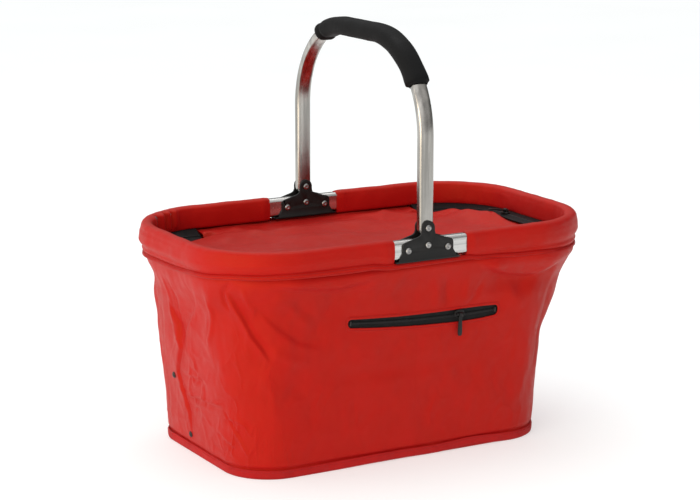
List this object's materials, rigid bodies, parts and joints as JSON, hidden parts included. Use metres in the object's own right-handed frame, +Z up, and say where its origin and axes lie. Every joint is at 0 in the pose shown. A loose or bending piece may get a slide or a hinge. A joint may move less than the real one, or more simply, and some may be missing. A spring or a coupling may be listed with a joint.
{
  "type": "folding carry basket",
  "caption": "Folding fabric carry basket with a rounded aluminium rim, a swing handle with foam grip, a zipped recessed lid and a zipped front pocket.",
  "frame": {"origin": "middle of the outer box, on the ground under the base", "axes": "+Z up, +X along the length of the basket, -Y towards the pocket side"},
  "size_m": [0.4804, 0.2948, 0.471],
  "materials": {
    "red_cloth": "matte coated plain weave",
    "red_binding": "ribbed binding tape",
    "lining": "thin plain weave",
    "base_board": "matte",
    "aluminium": "satin",
    "black_plate": "satin black",
    "rivet": "domed, smooth",
    "foam": "matte closed-cell foam",
    "black_plastic": "matte",
    "zip_tape": "matte ribbed tape",
    "zip_coil": "satin nylon coil",
    "slider_metal": "satin black",
    "stud_metal": "satin black"
  },
  "bodies": {
    "base": {"base_panel": "red_cloth", "base_board": "base_board", "base_binding": "red_binding", "lower_wall": "red_cloth", "press_stud_caps": "stud_metal", "press_stud_sockets": "stud_metal"},
    "rim": {"upper_wall": "red_cloth", "hem_band": "red_cloth", "rim_sleeve_left": "red_cloth", "rim_sleeve_right": "red_cloth", "rim_tube_left": "aluminium", "rim_tube_right": "aluminium", "rim_joiner_front": "aluminium", "rim_joiner_rear": "aluminium", "hinge_plate_front_outer": "black_plate", "hinge_plate_front_inner": "black_plate", "hinge_plate_rear_outer": "black_plate", "hinge_plate_rear_inner": "black_plate", "side_rivets": "rivet", "centre_rivets": "rivet", "pivot_rivets": "rivet", "pocket_bag": "lining", "pocket_zip_tape": "zip_tape", "pocket_zip_coil": "zip_coil", "pocket_zip_stops": "stud_metal", "lid_tape_outer": "zip_tape", "lid_coil_outer": "zip_coil"},
    "handle": {"handle_tube": "aluminium", "leg_end_plugs": "black_plastic", "foam_grip": "foam"},
    "lid": {"lid_panel": "red_cloth", "lid_tape_inner": "zip_tape", "lid_coil_inner": "zip_coil"},
    "pocket_slider": {"pocket_slider": "slider_metal"},
    "pocket_pull": {"pocket_pull_tab": "slider_metal"},
    "lid_slider": {"lid_slider": "slider_metal"},
    "lid_pull": {"lid_pull_tab": "slider_metal"}
  },
  "joints": [
    {"name": "collapse", "type": "slide", "parent": "base", "child": "rim", "axis": [0, 0, 1], "range_m": [-0.095, 0], "deforming": ["pocket_bag"]},
    {"name": "handle_swing", "type": "hinge", "parent": "rim", "child": "handle", "pos_m": [0, 0, 0.2625], "axis": [0, 1, 0], "range_deg": [-87.5, 87.5]},
    {"name": "lid_hinge", "type": "hinge", "parent": "rim", "child": "lid", "pos_m": [0, 0.1296, 0.22335], "axis": [-1, 0, 0], "range_deg": [0, 45], "deforming": ["lid_panel", "lid_tape_inner", "lid_coil_inner"]},
    {"name": "pocket_zip_slide", "type": "slide", "parent": "rim", "child": "pocket_slider", "axis": [0.9994, 0, -0.0349], "range_m": [-0.128, 0.038]},
    {"name": "pocket_pull_swing", "type": "hinge", "parent": "pocket_slider", "child": "pocket_pull", "pos_m": [0.05197, -0.13057, 0.15822], "axis": [-0.9994, 0, 0.0349], "range_deg": [0, 150]},
    {"name": "lid_zip_slide", "type": "slide", "parent": "lid", "child": "lid_slider", "axis": [0, 1, 0], "range_m": [-0.07, 0.01]},
    {"name": "lid_pull_swing", "type": "hinge", "parent": "lid_slider", "child": "lid_pull", "pos_m": [0.215, 0.03, 0.2309], "axis": [0, 1, 0], "range_deg": [0, 108]}
  ]
}
